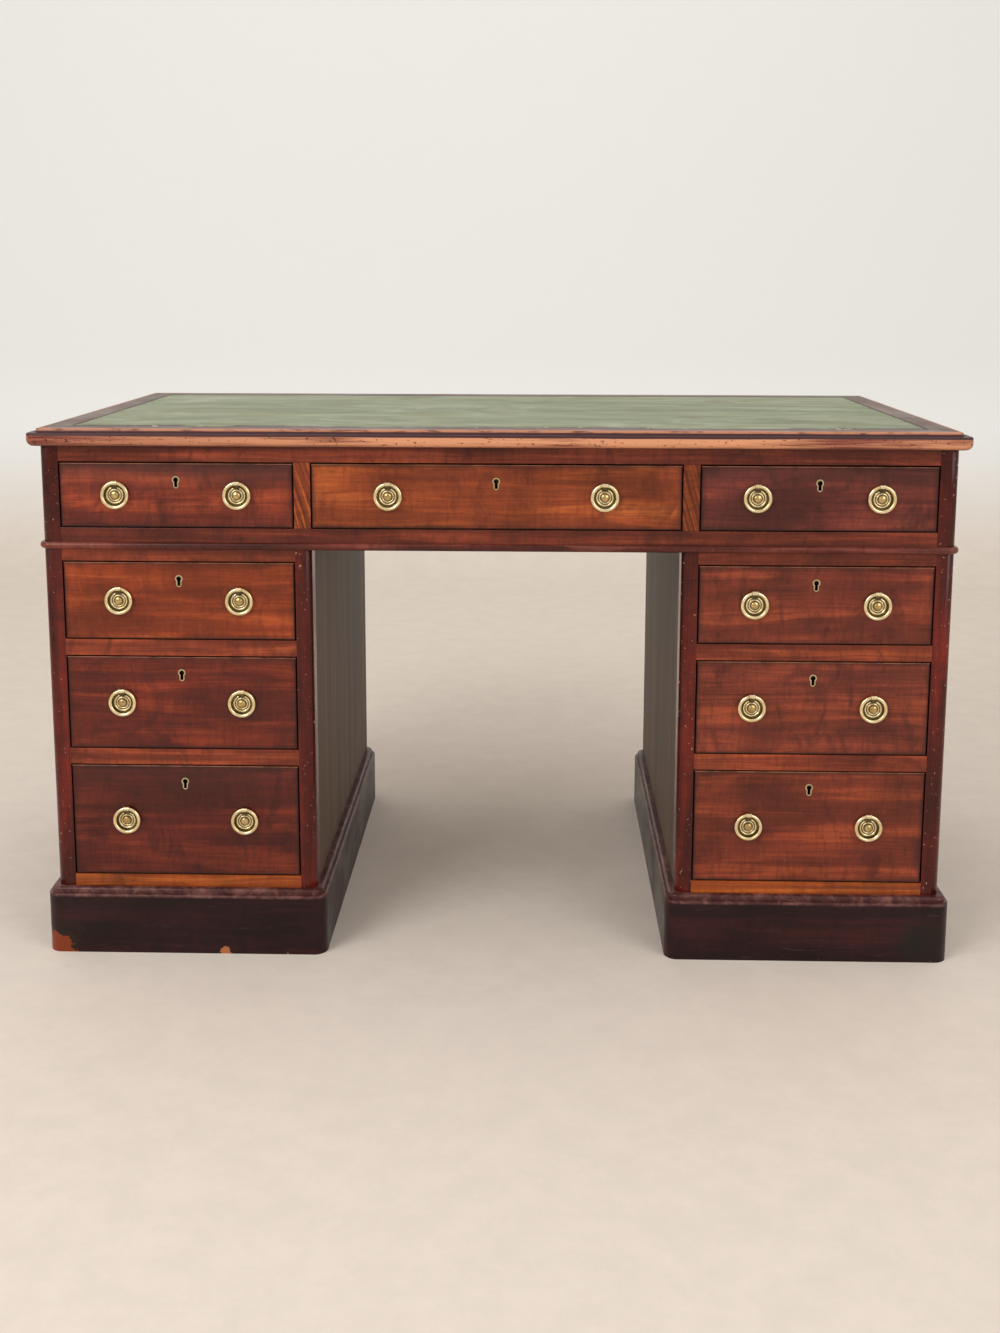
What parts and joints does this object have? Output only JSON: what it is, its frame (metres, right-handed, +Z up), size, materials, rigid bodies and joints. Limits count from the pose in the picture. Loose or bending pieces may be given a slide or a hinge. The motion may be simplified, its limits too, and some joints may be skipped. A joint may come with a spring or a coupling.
{
  "type": "pedestal desk",
  "caption": "Antique mahogany writing desk: leather-lined moulded top, frieze drawers, drawer pedestals on plinths either side of a kneehole, brass ring handles.",
  "frame": {"origin": "on the floor, under the middle of the desk", "axes": "+X along the desk to the right seen from the front, +Y to the back, +Z up; the drawers open towards -Y"},
  "size_m": [1.3, 0.67, 0.762],
  "materials": {
    "mahogany_top": "waxed, worn at the edges",
    "mahogany_carcase": "french polished",
    "mahogany_striped": "french polished",
    "mahogany_rails": "french polished",
    "mahogany_moulding": "french polished",
    "mahogany_plinth": "dark polished",
    "mahogany_fronts": "french polished, figured",
    "drawer_lining_wood": "bare",
    "pine": "bare",
    "green_leather": "worn",
    "brass": "aged"
  },
  "bodies": {
    "carcase": {"writing_top_border": "mahogany_top", "writing_top_ground": "pine", "leather_skiver": "green_leather", "frieze_ends": "mahogany_carcase", "frieze_dividers": "mahogany_striped", "frieze_rails": "mahogany_rails", "frieze_back": "pine", "waist_bead": "mahogany_moulding", "frieze_runners": "pine", "left_pedestal_carcase": "mahogany_carcase", "left_pedestal_frame": "mahogany_rails", "left_plinth": "mahogany_plinth", "right_pedestal_carcase": "mahogany_carcase", "right_pedestal_frame": "mahogany_rails", "right_plinth": "mahogany_plinth"},
    "frieze_left_drawer": {"frieze_left_front": "mahogany_fronts", "frieze_left_box": "drawer_lining_wood", "frieze_left_brassware": "brass"},
    "frieze_left_ring_left": {"frieze_left_ring_left": "brass"},
    "frieze_left_ring_right": {"frieze_left_ring_right": "brass"},
    "left_upper_drawer": {"left_upper_front": "mahogany_fronts", "left_upper_box": "drawer_lining_wood", "left_upper_brassware": "brass"},
    "left_upper_ring_left": {"left_upper_ring_left": "brass"},
    "left_upper_ring_right": {"left_upper_ring_right": "brass"},
    "left_middle_drawer": {"left_middle_front": "mahogany_fronts", "left_middle_box": "drawer_lining_wood", "left_middle_brassware": "brass"},
    "left_middle_ring_left": {"left_middle_ring_left": "brass"},
    "left_middle_ring_right": {"left_middle_ring_right": "brass"},
    "left_lower_drawer": {"left_lower_front": "mahogany_fronts", "left_lower_box": "drawer_lining_wood", "left_lower_brassware": "brass"},
    "left_lower_ring_left": {"left_lower_ring_left": "brass"},
    "left_lower_ring_right": {"left_lower_ring_right": "brass"},
    "frieze_right_drawer": {"frieze_right_front": "mahogany_fronts", "frieze_right_box": "drawer_lining_wood", "frieze_right_brassware": "brass"},
    "frieze_right_ring_left": {"frieze_right_ring_left": "brass"},
    "frieze_right_ring_right": {"frieze_right_ring_right": "brass"},
    "right_upper_drawer": {"right_upper_front": "mahogany_fronts", "right_upper_box": "drawer_lining_wood", "right_upper_brassware": "brass"},
    "right_upper_ring_left": {"right_upper_ring_left": "brass"},
    "right_upper_ring_right": {"right_upper_ring_right": "brass"},
    "right_middle_drawer": {"right_middle_front": "mahogany_fronts", "right_middle_box": "drawer_lining_wood", "right_middle_brassware": "brass"},
    "right_middle_ring_left": {"right_middle_ring_left": "brass"},
    "right_middle_ring_right": {"right_middle_ring_right": "brass"},
    "right_lower_drawer": {"right_lower_front": "mahogany_fronts", "right_lower_box": "drawer_lining_wood", "right_lower_brassware": "brass"},
    "right_lower_ring_left": {"right_lower_ring_left": "brass"},
    "right_lower_ring_right": {"right_lower_ring_right": "brass"},
    "frieze_centre_drawer": {"frieze_centre_front": "mahogany_fronts", "frieze_centre_box": "drawer_lining_wood", "frieze_centre_brassware": "brass"},
    "frieze_centre_ring_left": {"frieze_centre_ring_left": "brass"},
    "frieze_centre_ring_right": {"frieze_centre_ring_right": "brass"}
  },
  "joints": [
    {"name": "frieze_left_slide", "type": "slide", "parent": "carcase", "child": "frieze_left_drawer", "axis": [0, -1, 0], "range_m": [0, 0.42]},
    {"name": "frieze_left_ring_left_swing", "type": "hinge", "parent": "frieze_left_drawer", "child": "frieze_left_ring_left", "pos_m": [-0.53, -0.3247, 0.6869], "axis": [-1, 0, 0], "range_deg": [0, 85]},
    {"name": "frieze_left_ring_right_swing", "type": "hinge", "parent": "frieze_left_drawer", "child": "frieze_left_ring_right", "pos_m": [-0.36, -0.3247, 0.6869], "axis": [-1, 0, 0], "range_deg": [0, 85]},
    {"name": "left_upper_slide", "type": "slide", "parent": "carcase", "child": "left_upper_drawer", "axis": [0, -1, 0], "range_m": [0, 0.42]},
    {"name": "left_upper_ring_left_swing", "type": "hinge", "parent": "left_upper_drawer", "child": "left_upper_ring_left", "pos_m": [-0.53, -0.3247, 0.5369], "axis": [-1, 0, 0], "range_deg": [0, 85]},
    {"name": "left_upper_ring_right_swing", "type": "hinge", "parent": "left_upper_drawer", "child": "left_upper_ring_right", "pos_m": [-0.36, -0.3247, 0.5369], "axis": [-1, 0, 0], "range_deg": [0, 85]},
    {"name": "left_middle_slide", "type": "slide", "parent": "carcase", "child": "left_middle_drawer", "axis": [0, -1, 0], "range_m": [0, 0.42]},
    {"name": "left_middle_ring_left_swing", "type": "hinge", "parent": "left_middle_drawer", "child": "left_middle_ring_left", "pos_m": [-0.53, -0.3247, 0.3889], "axis": [-1, 0, 0], "range_deg": [0, 85]},
    {"name": "left_middle_ring_right_swing", "type": "hinge", "parent": "left_middle_drawer", "child": "left_middle_ring_right", "pos_m": [-0.36, -0.3247, 0.3889], "axis": [-1, 0, 0], "range_deg": [0, 85]},
    {"name": "left_lower_slide", "type": "slide", "parent": "carcase", "child": "left_lower_drawer", "axis": [0, -1, 0], "range_m": [0, 0.42]},
    {"name": "left_lower_ring_left_swing", "type": "hinge", "parent": "left_lower_drawer", "child": "left_lower_ring_left", "pos_m": [-0.53, -0.3247, 0.2144], "axis": [-1, 0, 0], "range_deg": [0, 85]},
    {"name": "left_lower_ring_right_swing", "type": "hinge", "parent": "left_lower_drawer", "child": "left_lower_ring_right", "pos_m": [-0.36, -0.3247, 0.2144], "axis": [-1, 0, 0], "range_deg": [0, 85]},
    {"name": "frieze_right_slide", "type": "slide", "parent": "carcase", "child": "frieze_right_drawer", "axis": [0, -1, 0], "range_m": [0, 0.42]},
    {"name": "frieze_right_ring_left_swing", "type": "hinge", "parent": "frieze_right_drawer", "child": "frieze_right_ring_left", "pos_m": [0.36, -0.3247, 0.6869], "axis": [-1, 0, 0], "range_deg": [0, 85]},
    {"name": "frieze_right_ring_right_swing", "type": "hinge", "parent": "frieze_right_drawer", "child": "frieze_right_ring_right", "pos_m": [0.53, -0.3247, 0.6869], "axis": [-1, 0, 0], "range_deg": [0, 85]},
    {"name": "right_upper_slide", "type": "slide", "parent": "carcase", "child": "right_upper_drawer", "axis": [0, -1, 0], "range_m": [0, 0.42]},
    {"name": "right_upper_ring_left_swing", "type": "hinge", "parent": "right_upper_drawer", "child": "right_upper_ring_left", "pos_m": [0.36, -0.3247, 0.5369], "axis": [-1, 0, 0], "range_deg": [0, 85]},
    {"name": "right_upper_ring_right_swing", "type": "hinge", "parent": "right_upper_drawer", "child": "right_upper_ring_right", "pos_m": [0.53, -0.3247, 0.5369], "axis": [-1, 0, 0], "range_deg": [0, 85]},
    {"name": "right_middle_slide", "type": "slide", "parent": "carcase", "child": "right_middle_drawer", "axis": [0, -1, 0], "range_m": [0, 0.42]},
    {"name": "right_middle_ring_left_swing", "type": "hinge", "parent": "right_middle_drawer", "child": "right_middle_ring_left", "pos_m": [0.36, -0.3247, 0.3889], "axis": [-1, 0, 0], "range_deg": [0, 85]},
    {"name": "right_middle_ring_right_swing", "type": "hinge", "parent": "right_middle_drawer", "child": "right_middle_ring_right", "pos_m": [0.53, -0.3247, 0.3889], "axis": [-1, 0, 0], "range_deg": [0, 85]},
    {"name": "right_lower_slide", "type": "slide", "parent": "carcase", "child": "right_lower_drawer", "axis": [0, -1, 0], "range_m": [0, 0.42]},
    {"name": "right_lower_ring_left_swing", "type": "hinge", "parent": "right_lower_drawer", "child": "right_lower_ring_left", "pos_m": [0.36, -0.3247, 0.2144], "axis": [-1, 0, 0], "range_deg": [0, 85]},
    {"name": "right_lower_ring_right_swing", "type": "hinge", "parent": "right_lower_drawer", "child": "right_lower_ring_right", "pos_m": [0.53, -0.3247, 0.2144], "axis": [-1, 0, 0], "range_deg": [0, 85]},
    {"name": "frieze_centre_slide", "type": "slide", "parent": "carcase", "child": "frieze_centre_drawer", "axis": [0, -1, 0], "range_m": [0, 0.42]},
    {"name": "frieze_centre_ring_left_swing", "type": "hinge", "parent": "frieze_centre_drawer", "child": "frieze_centre_ring_left", "pos_m": [-0.15, -0.3247, 0.6869], "axis": [-1, 0, 0], "range_deg": [0, 85]},
    {"name": "frieze_centre_ring_right_swing", "type": "hinge", "parent": "frieze_centre_drawer", "child": "frieze_centre_ring_right", "pos_m": [0.15, -0.3247, 0.6869], "axis": [-1, 0, 0], "range_deg": [0, 85]}
  ]
}
